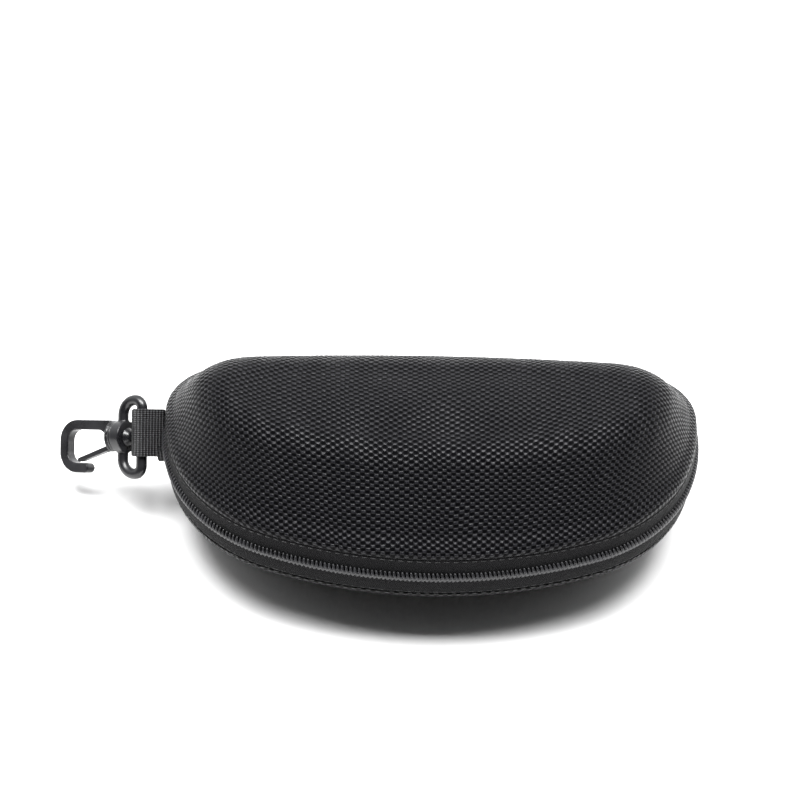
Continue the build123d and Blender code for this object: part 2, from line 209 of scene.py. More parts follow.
def cloth_lengths(points):
    """Cloth coordinates of a shell's grid: from the middle outwards, each step's true length is laid
    off in the direction that the step has in plan."""
    steps = np.diff(points[::-1], axis=0)
    plan = np.linalg.norm(steps[..., :2], axis=-1, keepdims=True)
    out, _ = rim(np.arange(points.shape[1]) * 2 * HALF_LENGTH / points.shape[1])
    out = out - np.array([0, WIDEST_Y / 2 - 10])
    fallback = out / np.linalg.norm(out, axis=-1, keepdims=True)
    direction = np.where(plan > 1e-3, steps[..., :2] / np.maximum(plan, 1e-3), fallback)
    length = np.linalg.norm(steps, axis=-1, keepdims=True)
    laid = np.concatenate([np.zeros_like(points[:1, :, :2]), np.cumsum(direction * length, axis=0)])
    return laid[::-1]


def surface_normals(points):
    """Unit normals of a grid whose rows close, from the cross product of its central differences."""
    down = np.gradient(points, axis=0)
    along = (np.roll(points, -1, axis=1) - np.roll(points, 1, axis=1)) / 2
    normal = np.cross(along, down)
    return normal / np.maximum(np.linalg.norm(normal, axis=-1, keepdims=True), 1e-9)


# =============================== meshes ===============================


def new_piece(name, vertices, faces, material, uv=None, flat_ends=0, solid=False):
    """A mesh object at the origin from points in millimetres; uv holds one pair per face corner. The
    last flat_ends faces are shaded flat. The faces of a solid are turned to face outwards."""
    mesh = bpy.data.meshes.new(name)
    mesh.from_pydata((np.asarray(vertices) * MM).tolist(), [], faces)
    if uv is not None:
        layer = mesh.uv_layers.new(name="cloth")
        layer.data.foreach_set("uv", np.asarray(uv, np.float32).ravel())
    mesh.polygons.foreach_set("use_smooth", [True] * (len(faces) - flat_ends) + [False] * flat_ends)
    mesh.materials.append(material)
    if solid:
        edit = bmesh.new()
        edit.from_mesh(mesh)
        bmesh.ops.recalc_face_normals(edit, faces=edit.faces)
        edit.to_mesh(mesh)
        edit.free()
    piece = bpy.data.objects.new(name, mesh)
    bpy.context.scene.collection.objects.link(piece)
    return piece


def grid_faces(rows, columns):
    """Quads of a grid whose points run row by row and whose rows close, and the grid place of each of
    their corners."""
    i, j = np.meshgrid(np.arange(rows - 1), np.arange(columns), indexing="ij")
    upper = np.stack([np.stack([i, j], -1), np.stack([i, j + 1], -1)], 2)
    lower = np.stack([np.stack([i + 1, j + 1], -1), np.stack([i + 1, j], -1)], 2)
    places = np.concatenate([upper, lower], 2).reshape(-1, 4, 2)
    return places[..., 0] * columns + places[..., 1] % columns, places


def merge_doubles(piece, distance=1e-6):
    """Closes poles and seams by merging the points that lie on each other."""
    edit = bmesh.new()
    edit.from_mesh(piece.data)
    bmesh.ops.remove_doubles(edit, verts=edit.verts, dist=distance)
    edit.to_mesh(piece.data)
    edit.free()


def shell_piece(name, points, laid, material, side, outside=True):
    """A shell's grid as a mesh, on the lid's side or mirrored for the bottom."""
    rows, columns = points.shape[:2]
    placed = points * np.array([1, 1, side]) + np.array([0, 0, ZIP_Z])
    faces, places = grid_faces(rows, columns)
    uv = laid[places[..., 0], places[..., 1] % columns]
    if (side == 1) != outside:
        faces, uv = faces[:, ::-1], uv[:, ::-1]
    piece = new_piece(name, placed.reshape(-1, 3), faces.tolist(), material, uv)
    merge_doubles(piece)
    return piece


def rim_sweep(name, s_from, s_to, profile, material, step=1.0, side=1):
    """A closed profile of (inset, height) pairs carried along the outline between two arc lengths,
    with flat ends; cloth coordinates are the run along the rim and along the profile."""
    count = max(int((s_to - s_from) / step), 2)
    s = np.linspace(s_from, s_to, count)
    profile = np.asarray(profile, float)
    plan, _ = rim(s[:, None] + 0 * profile[:, 0], profile[:, 0] + 0 * s[:, None])
    height = np.broadcast_to(ZIP_Z + side * profile[:, 1], plan.shape[:2])
    points = np.concatenate([plan, height[..., None]], -1)
    rows, columns = points.shape[:2]
    faces, places = grid_faces(rows, columns)
    steps = np.diff(profile, axis=0, append=profile[:1])
    run = np.concatenate([[0], np.cumsum(np.linalg.norm(steps, axis=1))])
    uv = np.stack([s[places[..., 0]], run[places[..., 1]]], -1)[:, ::side]
    caps = [list(range(columns))[::side], [(rows - 1) * columns + k for k in range(columns)][::-side]]
    all_faces = faces[:, ::side].tolist() + caps
    all_uv = np.concatenate([uv.reshape(-1, 2), profile[::side], profile[::-side]])
    return new_piece(name, points.reshape(-1, 3), all_faces, material, all_uv, flat_ends=2, solid=True)


def tube(path, radii, squash=1.0):
    """Points and faces of a closed tube round a path: at each point a ring across the path, its
    second axis scaled by squash, and a pole at each end."""
    path = np.asarray(path, float)
    ahead = np.gradient(path, axis=0)
    ahead /= np.linalg.norm(ahead, axis=1, keepdims=True)
    along_x = abs(ahead[:, 0]).max() >= 0.9
    reference = np.array([0.0, 0.0, 1.0]) if along_x else np.array([1.0, 0.0, 0.0])
    first = np.cross(ahead, reference)
    first /= np.linalg.norm(first, axis=1, keepdims=True)
    second = np.cross(ahead, first)
    angle = (np.arange(TUBE_SIDES) * 2 * math.pi / TUBE_SIDES)[:, None]
    ring = first[:, None] * np.cos(angle) + second[:, None] * squash * np.sin(angle)
    points = (path[:, None] + ring * np.asarray(radii)[:, None, None]).reshape(-1, 3)
    faces, _ = grid_faces(len(path), TUBE_SIDES)
    faces = faces.tolist()
    last = len(points)
    first_pole = path[0] - ahead[0] * radii[0] / 2
    last_pole = path[-1] + ahead[-1] * radii[-1] / 2
    points = np.vstack([points, first_pole, last_pole])
    for k in range(TUBE_SIDES):
        after = (k + 1) % TUBE_SIDES
        faces.append([last, after, k])
        faces.append([last + 1, last - TUBE_SIDES + k, last - TUBE_SIDES + after])
    return points, faces


def copies(name, shape, origins, frames, material, body):
    """One small shape repeated: each point is its origin plus the shape's point along three axes."""
    points, faces = shape
    placed = origins[:, None] + np.einsum("pc,kcd->kpd", points, frames)
    all_faces = []
    for k, axes in enumerate(frames):
        turn = -1 if np.linalg.det(axes) < 0 else 1
        all_faces += [[v + k * len(points) for v in face[::turn]] for face in faces]
    piece = new_piece(name, placed.reshape(-1, 3), all_faces, material, solid=True)
    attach(piece, body)
    return piece


def moulded_copy(node, material, voxel, rounds):
    """A copy of a frame part with its edges rounded as a mould leaves them: remeshed in small cubes
    and then smoothed."""
    piece = frame["nodes"][node].copy()
    piece.data = piece.data.copy()
    piece.name = node + "_moulded"
    piece.parent = None
    for key in list(piece.keys()):
        if key.startswith("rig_"):
            del piece[key]
    bpy.context.scene.collection.objects.link(piece)
    merge_doubles(piece, 1e-7)
    remesh = piece.modifiers.new("remesh", "REMESH")
    remesh.mode = "VOXEL"
    remesh.voxel_size = voxel * MM
    smoothing = piece.modifiers.new("smooth", "SMOOTH")
    smoothing.factor = 0.5
    smoothing.iterations = rounds
    depsgraph = bpy.context.evaluated_depsgraph_get()
    mesh = bpy.data.meshes.new_from_object(piece.evaluated_get(depsgraph))
    piece.modifiers.clear()
    piece.data = mesh
    mesh.materials.clear()
    mesh.materials.append(material)
    mesh.polygons.foreach_set("use_smooth", [True] * len(mesh.polygons))
    return piece


# =============================== materials ===============================


def colour(text):
    """An sRGB hex colour as linear red, green, blue and alpha."""
    values = np.array([int(text[k : k + 2], 16) for k in (1, 3, 5)]) / 255
    linear = np.where(values <= 0.04045, values / 12.92, ((values + 0.055) / 1.055) ** 2.4)
    return (*linear.tolist(), 1.0)


def add(tree, kind, inputs=(), **settings):
    """Adds a node with its settings; inputs pairs each socket with a value or another node's output."""
    made = tree.nodes.new(kind)
    for key, value in settings.items():
        setattr(made, key, value)
    for socket, value in inputs:
        if isinstance(value, bpy.types.NodeSocket):
            tree.links.new(value, made.inputs[socket])
        else:
            made.inputs[socket].default_value = value
    return made


def new_material(name, roughness, sheen=0.0, specular=0.5):
    """A material with its shader; the values that are the same all over sit on the shader itself."""
    material = bpy.data.materials.new(name)
    material.use_nodes = True
    tree = material.node_tree
    shader = tree.nodes["Principled BSDF"]
    shader.inputs["Roughness"].default_value = roughness
    shader.inputs["Sheen Weight"].default_value = sheen
    shader.inputs["Sheen Roughness"].default_value = 0.4
    shader.inputs["Specular IOR Level"].default_value = specular
    return material, tree, shader


def math_node(tree, operation, *values):
    """One step of arithmetic on numbers or outputs."""
    return add(tree, "ShaderNodeMath", list(enumerate(values)), operation=operation).outputs[0]


def noise(tree, place, scale, detail):
    """Fractal noise over a place."""
    settings = [("Vector", place), ("Scale", scale), ("Detail", detail)]
    return add(tree, "ShaderNodeTexNoise", settings).outputs["Fac"]


def ramp(tree, factor, stops):
    """A colour ramp whose stops are (place, hex colour)."""
    made = add(tree, "ShaderNodeValToRGB", [("Fac", factor)])
    while len(made.color_ramp.elements) < len(stops):
        made.color_ramp.elements.new(0.5)
    for element, (place, text) in zip(made.color_ramp.elements, stops):
        element.position = place
        element.color = colour(text)
    return made.outputs["Color"]


def tint(tree, shader, socket, factor, stops):
    """Drives one of the shader's colours by a ramp."""
    tree.links.new(ramp(tree, factor, stops), shader.inputs[socket])


def emboss(tree, shader, height, strength, distance):
    """Bumps the shader's surface by a height, at most a distance in metres."""
    inputs = [("Strength", strength), ("Distance", distance), ("Height", height)]
    tree.links.new(add(tree, "ShaderNodeBump", inputs).outputs[0], shader.inputs["Normal"])


def cloth_coordinates(tree):
    """The two cloth coordinates of a piece, in millimetres."""
    uv = add(tree, "ShaderNodeUVMap", uv_map="cloth")
    split = add(tree, "ShaderNodeSeparateXYZ", [("Vector", uv.outputs[0])])
    return uv.outputs[0], split.outputs[0], split.outputs[1]


def wave(tree, position, period):
    """Cosine of a position, with its period in the same unit."""
    turns = math_node(tree, "MULTIPLY", position, 2 * math.pi / period)
    return math_node(tree, "COSINE", turns)


def woven_cover():
    """Ballistic-look nylon laminated to board, woven and pressed: thick satin floats stand up as small
    lozenges in a half-offset lattice, with pits between them. The pits are painted near black and their
    reflection is dimmed, as painted shade, so the floats read lighter."""
    material, tree, shader = new_material("woven_nylon_cover", 0.42, specular=0.2)
    uv, across, along = cloth_coordinates(tree)
    drift = noise(tree, uv, 0.05, 2.0)
    bend = math_node(tree, "MULTIPLY", math_node(tree, "SUBTRACT", drift, 0.5), 3.0)
    pulled = math_node(tree, "MULTIPLY_ADD", math_node(tree, "MULTIPLY", across, across), -0.0022, bend)
    across = math_node(tree, "ADD", across, bend)
    along = math_node(tree, "ADD", along, pulled)
    lattice = math_node(
        tree, "MULTIPLY", wave(tree, across, WEAVE_ACROSS), wave(tree, along, WEAVE_ALONG)
    )
    lozenge = add(
        tree,
        "ShaderNodeMapRange",
        [("Value", lattice), ("From Min", -0.45), ("From Max", 0.75)],
        interpolation_type="SMOOTHSTEP",
    )
    yarn = wave(tree, along, 0.28)
    grain = noise(tree, uv, 1.6, 3.0)
    height = math_node(tree, "MULTIPLY_ADD", yarn, 0.03, lozenge.outputs[0])
    height = math_node(tree, "MULTIPLY_ADD", grain, 0.25, height)
    # Painted shade in the pits between the floats, mixed with random tone from the grain: it darkens the
    # base colour here and the reflection below.
    shade = math_node(tree, "MULTIPLY_ADD", grain, 0.3, lozenge.outputs[0])
    tint(tree, shader, "Base Color", shade, [(0.1, "#020203"), (0.55, "#08080a"), (1.0, "#131317")])
    ends = [("Value", lozenge.outputs[0]), ("To Min", 0.62), ("To Max", 0.3)]
    rough = add(tree, "ShaderNodeMapRange", ends)
    tree.links.new(rough.outputs[0], shader.inputs["Roughness"])
    # Painted shade: the reflection is dimmed in the pits.
    tint(tree, shader, "Specular Tint", shade, [(0.15, "#303030"), (0.95, "#ffffff")])
    emboss(tree, shader, height, 1.0, 0.00026)
    return material


def tape_cloth(name, light, dark, rib=0.6, slant=0.55):
    """Polyester zip tape in a tight herringbone: fine slanted ribs whose slant turns round every
    1.2 mm of height. The grooves are painted darker than the ribs, as painted shade."""
    material, tree, shader = new_material(name, 0.62, specular=0.1)
    uv, run, height = cloth_coordinates(tree)
    fold = math_node(tree, "PINGPONG", height, 1.2)
    slanted = math_node(tree, "MULTIPLY_ADD", fold, slant, run)
    ribs = wave(tree, slanted, rib)
    picks = wave(tree, height, 0.42)
    weave = math_node(tree, "MULTIPLY_ADD", picks, 0.5, ribs)
    grain = noise(tree, uv, 0.9, 4.0)
    weave = math_node(tree, "MULTIPLY_ADD", grain, 0.8, weave)
    fac = add(tree, "ShaderNodeMapRange", [("Value", weave), ("From Min", -1.3), ("From Max", 1.9)])
    # Painted shade: the colour runs from dark in the grooves to light on the ribs, with random tone from the
    # grain.
    tint(tree, shader, "Base Color", fac.outputs[0], [(0.1, dark), (0.9, light)])
    emboss(tree, shader, weave, 0.9, 0.00012)
    return material


def ribbed_webbing():
    """Nylon webbing: plain weave of flat yarns, a rib each 0.6 mm across and a pick each 0.9 mm. The low
    parts of the weave are painted darker and their reflection dimmed, as painted shade.
    """
    material, tree, shader = new_material("nylon_webbing", 0.42, specular=0.7)
    uv, run, across = cloth_coordinates(tree)
    rib = wave(tree, across, 1.25)
    offset = math_node(tree, "MULTIPLY", math_node(tree, "SIGN", rib), 0.45)
    pick = wave(tree, math_node(tree, "ADD", run, offset), 0.9)
    weave = math_node(tree, "MULTIPLY_ADD", pick, 0.6, math_node(tree, "ABSOLUTE", rib))
    grain = noise(tree, uv, 1.2, 3.0)
    weave = math_node(tree, "MULTIPLY_ADD", grain, 0.5, weave)
    fac = add(tree, "ShaderNodeMapRange", [("Value", weave), ("From Min", -0.6), ("From Max", 2.0)])
    # Painted shade: colour and reflection darken where the weave is low, mixed with random tone from the
    # grain.
    tint(tree, shader, "Base Color", fac.outputs[0], [(0.1, "#030303"), (0.6, "#0d0d0f"), (1.0, "#242428")])
    tint(tree, shader, "Specular Tint", fac.outputs[0], [(0.2, "#101010"), (0.85, "#ffffff")])
    emboss(tree, shader, weave, 1.0, 0.00022)
    return material


def brushed_lining():
    """Brushed tricot: short soft pile over a fine knit, so it is dull with a pale edge."""
    material, tree, shader = new_material("brushed_tricot_lining", 0.9, sheen=0.35, specular=0.15)
    place = add(tree, "ShaderNodeTexCoord").outputs["Object"]
    nap = noise(tree, place, 260.0, 5.0)
    pile = noise(tree, place, 2600.0, 2.0)
    both = math_node(tree, "MULTIPLY_ADD", pile, 0.7, nap)
    fac = add(tree, "ShaderNodeMapRange", [("Value", both), ("From Min", 0.45), ("From Max", 1.25)])
    tint(tree, shader, "Base Color", fac.outputs[0], [(0.0, "#1a1a1d"), (1.0, "#34343a")])
    emboss(tree, shader, both, 0.6, 0.0003)
    return material


def foam_board():
    """Closed-cell EVA board, hot pressed: matt charcoal with very fine cells on its cut edge."""
    material, tree, shader = new_material("eva_board", 0.75, specular=0.3)
    place = add(tree, "ShaderNodeTexCoord").outputs["Object"]
    cells = add(tree, "ShaderNodeTexVoronoi", [("Vector", place), ("Scale", 2200.0)])
    tone = noise(tree, place, 90.0, 3.0)
    tint(tree, shader, "Base Color", tone, [(0.3, "#131315"), (0.7, "#202023")])
    emboss(tree, shader, cells.outputs[0], 0.4, 0.0001)
    return material


def moulded_plastic(name, dark, light, roughness):
    """Acetal from a fine-sparked mould: even grey-black, satin, with a faint orange-peel grain."""
    material, tree, shader = new_material(name, roughness, specular=0.5)
    place = add(tree, "ShaderNodeTexCoord").outputs["Object"]
    spark = noise(tree, place, 3200.0, 2.0)
    flow = noise(tree, place, 160.0, 4.0)
    ends = [("From Min", 0.3), ("From Max", 0.75), ("To Min", roughness - 0.08), ("To Max", roughness + 0.1)]
    worn = add(tree, "ShaderNodeMapRange", [("Value", flow), *ends])
    tint(tree, shader, "Base Color", flow, [(0.3, dark), (0.8, light)])
    tree.links.new(worn.outputs[0], shader.inputs["Roughness"])
    emboss(tree, shader, spark, 0.25, 0.00006)
    return material


def lacquered_zinc():
    """Die-cast zinc under black lacquer: smooth, half gloss, a little thinner on its handled edges."""
    material, tree, shader = new_material("lacquered_zinc", 0.3, specular=0.6)
    place = add(tree, "ShaderNodeTexCoord").outputs["Object"]
    flow = noise(tree, place, 420.0, 5.0)
    worn = add(tree, "ShaderNodeMapRange", [("Value", flow), ("To Min", 0.2), ("To Max", 0.45)])
    tint(tree, shader, "Base Color", flow, [(0.3, "#0c0c0d"), (0.75, "#1c1c1f")])
    tree.links.new(worn.outputs[0], shader.inputs["Roughness"])
    emboss(tree, shader, flow, 0.15, 0.00005)
    return material


def twisted_thread():
    """Bonded nylon sewing thread, two-ply: small slanted ridges each 0.5 mm and a soft shine. The grooves
    between the plies are painted darker, as painted shade.
    """
    material, tree, shader = new_material("bonded_nylon_thread", 0.4, specular=0.5)
    place = add(tree, "ShaderNodeTexCoord").outputs["Object"]
    split = add(tree, "ShaderNodeSeparateXYZ", [("Vector", place)])
    plan = math_node(tree, "ADD", split.outputs[0], split.outputs[1])
    slanted = math_node(tree, "ADD", plan, split.outputs[2])
    ply = wave(tree, slanted, 0.0005)
    fac = add(tree, "ShaderNodeMapRange", [("Value", ply), ("From Min", -1.0)])
    # Painted shade: dark in the grooves between the plies, light on their ridges.
    tint(tree, shader, "Base Color", fac.outputs[0], [(0.0, "#0c0c0d"), (1.0, "#1c1c1e")])
    emboss(tree, shader, ply, 0.5, 0.00008)
    return material


COVER_CLOTH = woven_cover()
TAPE_CLOTH = tape_cloth("zip_tape_herringbone", "#0e0e10", "#040405")
HINGE_CLOTH = tape_cloth("plain_nylon_hinge", "#1b1b1e", "#09090b", rib=0.8, slant=0.0)
BINDING_CLOTH = tape_cloth("grosgrain_binding", "#202023", "#0b0b0d", rib=0.9, slant=0.0)
WEBBING = ribbed_webbing()
LINING = brushed_lining()
BOARD = foam_board()
COIL_NYLON = moulded_plastic("drawn_nylon_coil", "#121214", "#222226", 0.42)
HOOK_PLASTIC = moulded_plastic("acetal_hook", "#131315", "#1d1d20", 0.3)
LACQUER = lacquered_zinc()
THREAD = twisted_thread()

# =============================== the shells ===============================

AROUND = 900
COVER_ROWS = 34
EDGE_ROUND = 0.15
cover_laid = cloth_lengths(shell_surface(0.0, AROUND, COVER_ROWS, COVER_ROWS, CROWN))
cover_phase = 2 * math.pi * cover_laid / np.array([WEAVE_ACROSS, WEAVE_ALONG])
floats = np.cos(cover_phase[..., 0]) * np.cos(cover_phase[..., 1])
cover_s = np.arange(AROUND) * 2 * HALF_LENGTH / AROUND


def cover_piece(name, side, crown):
    """The cover with its floats pressed into it; its edge turns in over the tape."""
    points = shell_surface(0.0, AROUND, COVER_ROWS, COVER_ROWS, crown)
    relief = FLOAT_HEIGHT * floats * np.clip((points[..., 2] - BAND_HALF) / 2, 0, 1)
    points = points + surface_normals(points) * relief[..., None]
    edge = np.column_stack([rim(cover_s, BAND_INSET + COVER)[0], np.full(AROUND, BAND_HALF)])
    groove = np.column_stack([rim(cover_s, BAND_INSET + EDGE_ROUND)[0], np.full(AROUND, TAPE_TOP)])
    points = np.concatenate([[edge], [groove], points])
    laid = np.concatenate([cover_laid[:1], cover_laid[:1], cover_laid])
    piece = shell_piece(name, points, laid, COVER_CLOTH, side)
    return piece


lid_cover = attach(cover_piece("lid_woven_cover", 1, CROWN), "lid")
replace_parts(lid_cover, "top_cover")
base_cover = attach(cover_piece("base_woven_cover", -1, 0.0), "lower_half")
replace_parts(base_cover, "bottom_cover")

for side, body, node in ((1, "lid", "top_lining"), (-1, "lower_half", "bottom_lining")):
    lining_points = shell_surface(LINING_FACE, 420, 20, 22, 0.0, lip_rows=4, relieved=side == 1)
    lining_laid = cloth_lengths(lining_points)
    lining = shell_piece(body + "_lining_cloth", lining_points, lining_laid, LINING, side, outside=False)
    ply = lining.modifiers.new("ply", "SOLIDIFY")
    ply.thickness = LINING_PLY * MM
    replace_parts(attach(lining, body), node)

# =============================== the band: tapes, hinge, binding ===============================

BACK_RIGHT = back_length(SPLIT_X)
BACK_LEFT = back_length(-SPLIT_X)
HINGE_RIGHT = back_length(HINGE_HALF + FABRIC_GAP)
HINGE_LEFT = back_length(-HINGE_HALF - FABRIC_GAP)
LOOP = 2 * HALF_LENGTH


def tape_profile(high):
    """A tape's section: its outer face bulges and its edges are rounded."""
    t = np.linspace(0, 1, 12)
    bulge = TAPE_BULGE * np.sin(math.pi * t) ** 0.7
    outer = np.column_stack([BAND_INSET - bulge, TAPE_LOW + (high - TAPE_LOW) * t])
    outer[[0, -1], 0] += 0.18
    inside = BAND_INSET + TAPE_THICKNESS
    return np.vstack([outer, [inside, high], [inside, TAPE_LOW]])


def tape_piece(name, s_from, s_to, side, body, node, high=TAPE_TOP):
    """A stretch of tape on one side of the zip."""
    piece = rim_sweep(name, s_from, s_to, tape_profile(high), TAPE_CLOTH, side=side)
    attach(piece, body)
    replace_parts(piece, node)


END_RIGHT = (BACK_RIGHT + FABRIC_GAP, HINGE_RIGHT)
END_LEFT = (HINGE_LEFT, BACK_LEFT - FABRIC_GAP)
tape_piece("lid_tape", BACK_LEFT - LOOP + 0.1, BACK_RIGHT - 0.1, 1, "lid", "top_zip_tape")
tape_piece("base_tape", HINGE_LEFT - LOOP, HINGE_RIGHT, -1, "lower_half", "bottom_zip_tape")
tape_piece("right_end_tape", *END_RIGHT, 1, "lower_half", "right_zip_end", END_TOP)
tape_piece("left_end_tape", *END_LEFT, 1, "lower_half", "left_zip_end", END_TOP)

# The hinge is one strip of cloth with a valley along its crease.
crease = np.linspace(-BAND_HALF + 0.1, BAND_HALF - 0.1, 41)
valley = 0.35 * np.exp(-((crease / 0.7) ** 2))
hinge_profile = np.vstack([
    np.column_stack([BAND_INSET + valley, crease]),
    np.column_stack([BAND_INSET + TAPE_THICKNESS + 0 * valley, crease])[::-1],
])
hinge = rim_sweep("hinge_cloth", HINGE_RIGHT + 0.1, HINGE_LEFT - 0.1, hinge_profile, HINGE_CLOTH)
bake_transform(hinge)
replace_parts(hinge, "bottom_hinge_strip", "top_hinge_strip")

# Folded tabs over the closed ends, between hinge and zip.
TAB_X = HINGE_HALF + 1.8
TAB_HALF = 1.5
TAB_PROUD = 0.62
across_tab = np.linspace(-1, 1, 21)
tab_profile = np.vstack([
    np.column_stack([BAND_INSET - TAB_PROUD + 0.25 * across_tab**8, END_TOP * across_tab]),
    [[BAND_INSET, END_TOP], [BAND_INSET, -END_TOP]],
])
for name, x in (("right_end_tab", TAB_X), ("left_end_tab", -TAB_X)):
    centre = back_length(x)
    tab = rim_sweep(name, centre - TAB_HALF, centre + TAB_HALF, tab_profile, HINGE_CLOTH, step=0.3)
    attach(tab, "lower_half")


def binding_profile():
    """Grosgrain folded round the lip: a flattened half round under its edge."""
    angle = np.linspace(0, math.pi, 15)
    middle = BAND_INSET + (TAPE_THICKNESS + LINING_FACE + COVER) / 2
    half = (LINING_FACE + COVER - TAPE_THICKNESS) / 2
    return np.column_stack([middle - half * np.cos(angle), LIP_EDGE + 0.6 - 1.25 * np.sin(angle) ** 0.6])


RELIEF = [back_length(SPLIT_X + 0.4), back_length(-SPLIT_X - 0.4)]
for side, body, node, spans in (
    (-1, "lower_half", "bottom_rim_binding", [(0.0, LOOP)]),
    (1, "lid", "top_rim_binding", [(RELIEF[1] - LOOP, RELIEF[0]), (HINGE_RIGHT + 0.5, HINGE_LEFT - 0.5)]),
):
    for k, (s_from, s_to) in enumerate(spans):
        name = f"{body}_binding_{k}"
        binding = rim_sweep(name, s_from, s_to, binding_profile(), BINDING_CLOTH, side=side)
        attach(binding, body)
        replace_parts(binding, node)

# =============================== the zip's teeth and stitches ===============================

climb = np.linspace(0, 1, 8)
tooth_path = np.column_stack([
    0.8 * climb,
    -BAND_INSET + 0.1 + (BAND_INSET - 0.5) * np.sin(math.pi * np.minimum(climb * 1.6, 1) / 2),
    1.6 - 2.05 * climb,
])
tooth_radii = FILAMENT / 2 * np.array([0.8, 0.95, 1.0, 1.0, 1.0, 1.05, 1.15, 0.9])
TOOTH = tube(tooth_path, tooth_radii, squash=1.45)


def rim_frames(s, side):
    """Origins on the outline and the axes along it, outwards and away from the zip's middle."""
    plan, normal = rim(s)
    tangent = np.stack([-normal[:, 1], normal[:, 0]], -1)
    flat = np.zeros((len(s), 1))
    rise = np.tile([0.0, 0.0, float(side)], (len(s), 1))
    origins = np.column_stack([plan, np.full(len(s), ZIP_Z)])
    return origins, np.stack([np.hstack([tangent, flat]), np.hstack([normal, flat]), rise], 1)


def teeth(name, s_from, s_to, side, body, node):
    """One coil's teeth: a bead of nylon each 1.24 mm that climbs from the tape, leans over and ends
    in a head past the middle; the two coils are half a pitch apart."""
    count = int((s_to - s_from) / TOOTH_PITCH)
    s = s_from + (np.arange(count) + (0.25 if side == 1 else 0.75)) * TOOTH_PITCH
    origins, frames = rim_frames(s, side)
    piece = copies(name, TOOTH, origins, frames, COIL_NYLON, body)
    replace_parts(piece, node)


ZIP_RUN = (BACK_LEFT - LOOP + 0.4, BACK_RIGHT - 0.4)
teeth("lid_teeth", *ZIP_RUN, 1, "lid", "top_zip_coil")
teeth("base_teeth", *ZIP_RUN, -1, "lower_half", "bottom_zip_coil")
chain_right = (BACK_RIGHT + 0.3, back_length(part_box("right_zip_chain")[0].x / MM))
chain_left = (back_length(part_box("left_zip_chain")[1].x / MM), BACK_LEFT - 2.5)
for name, node, run in (("right", "right_zip_chain", chain_right), ("left", "left_zip_chain", chain_left)):
    for side in (1, -1):
        level = "upper" if side == 1 else "lower"
        teeth(f"{name}_chain_{level}_teeth", *run, side, "lower_half", node)

STITCH_HALF = 0.95
THREAD_RADIUS = 0.17
span = np.linspace(-1, 1, 7)
stitch_path = np.column_stack([STITCH_HALF * span, 0.16 - 0.2 * span**4, 0 * span])
STITCH = tube(stitch_path, THREAD_RADIUS * np.array([0.6, 1, 1, 1, 1, 1, 0.6]))


def rim_stitches(name, s_from, s_to, side, body):
    """A row of lockstitches along the tape."""
    origins, frames = rim_frames(np.arange(s_from, s_to, STITCH_PITCH), side)
    origins = origins - frames[:, 1] * (BAND_INSET + 0.1) + frames[:, 2] * STITCH_HEIGHT
    copies(name, STITCH, origins, frames, THREAD, body)


rim_stitches("lid_tape_stitches", BACK_LEFT - LOOP + 2, BACK_RIGHT - 2, 1, "lid")
rim_stitches("base_tape_stitches", HINGE_LEFT - LOOP + 2, HINGE_RIGHT - 2, -1, "lower_half")

# =============================== the webbing tab ===============================


def strap(name, path, across, section, material):
    """A closed section of (across, out) pairs carried along a path that lies in the plane square to the
    direction across; out is that direction crossed with the path's."""
    ahead = np.gradient(path, axis=0)
    ahead /= np.linalg.norm(ahead, axis=1, keepdims=True)
    out = np.cross(across, ahead)
    points = path[:, None] + across * section[:, :1] + out[:, None] * section[:, 1:]
    rows, columns = points.shape[:2]
    faces, places = grid_faces(rows, columns)
    run = np.concatenate([[0], np.cumsum(np.linalg.norm(np.diff(path, axis=0), axis=1))])
    uv = np.stack([run[places[..., 0]], section[places[..., 1] % columns, 0]], -1).reshape(-1, 2)
    caps = [list(range(columns)), [(rows - 1) * columns + k for k in range(columns)][::-1]]
    all_uv = np.concatenate([uv, section, section[::-1]])
    all_faces = faces.tolist() + caps
    return new_piece(name, points.reshape(-1, 3), all_faces, material, all_uv, flat_ends=2, solid=True)


# The strap is folded round the ring's bar, and its two plies meet at the case.
JOINTS = frame["record"]["behaviour"]["joints"]
RING_JOINT = next(joint for joint in JOINTS if joint["name"] == "ring_swing")
BAR = np.array(RING_JOINT["pos_m"]) / MM
ALONG_BAR = np.array(RING_JOINT["axis"]) / np.linalg.norm(RING_JOINT["axis"])
TO_CASE = np.array([1.0, 0, 0]) - ALONG_BAR * ALONG_BAR[0]
TO_CASE /= np.linalg.norm(TO_CASE)
SQUARE = np.cross(ALONG_BAR, TO_CASE)
WEBBING_WIDTH = 14.2
WEBBING_SHIFT = 1.3
PLY = 1.25
WRAP = 2.5
STRAP_REACH = 6.6

contact = math.acos((WRAP - PLY / 2) / math.hypot(STRAP_REACH, PLY / 2))
wrap_angle = np.linspace(contact, 2 * math.pi - contact, 44)
wrap = WRAP * np.column_stack([np.cos(wrap_angle), np.sin(wrap_angle)])
share = np.linspace(0, 1, 12, endpoint=False)[:, None]
upper = np.array([STRAP_REACH, PLY / 2 + 0.02]) * (1 - share) + wrap[0] * share
lower = wrap[-1] * share[::-1] + np.array([STRAP_REACH, -PLY / 2 - 0.02]) * (1 - share[::-1])
fold = np.vstack([upper, wrap, lower])
strap_path = BAR + ALONG_BAR * WEBBING_SHIFT + fold[:, :1] * TO_CASE + fold[:, 1:] * SQUARE
edge_angle = np.linspace(-math.pi / 2, math.pi / 2, 7)
half_width = (WEBBING_WIDTH - PLY) / 2
round_edge = np.column_stack([half_width + PLY / 2 * np.cos(edge_angle), PLY / 2 * np.sin(edge_angle)])
flat_rows = np.linspace(half_width, -half_width, 24)[1:-1]
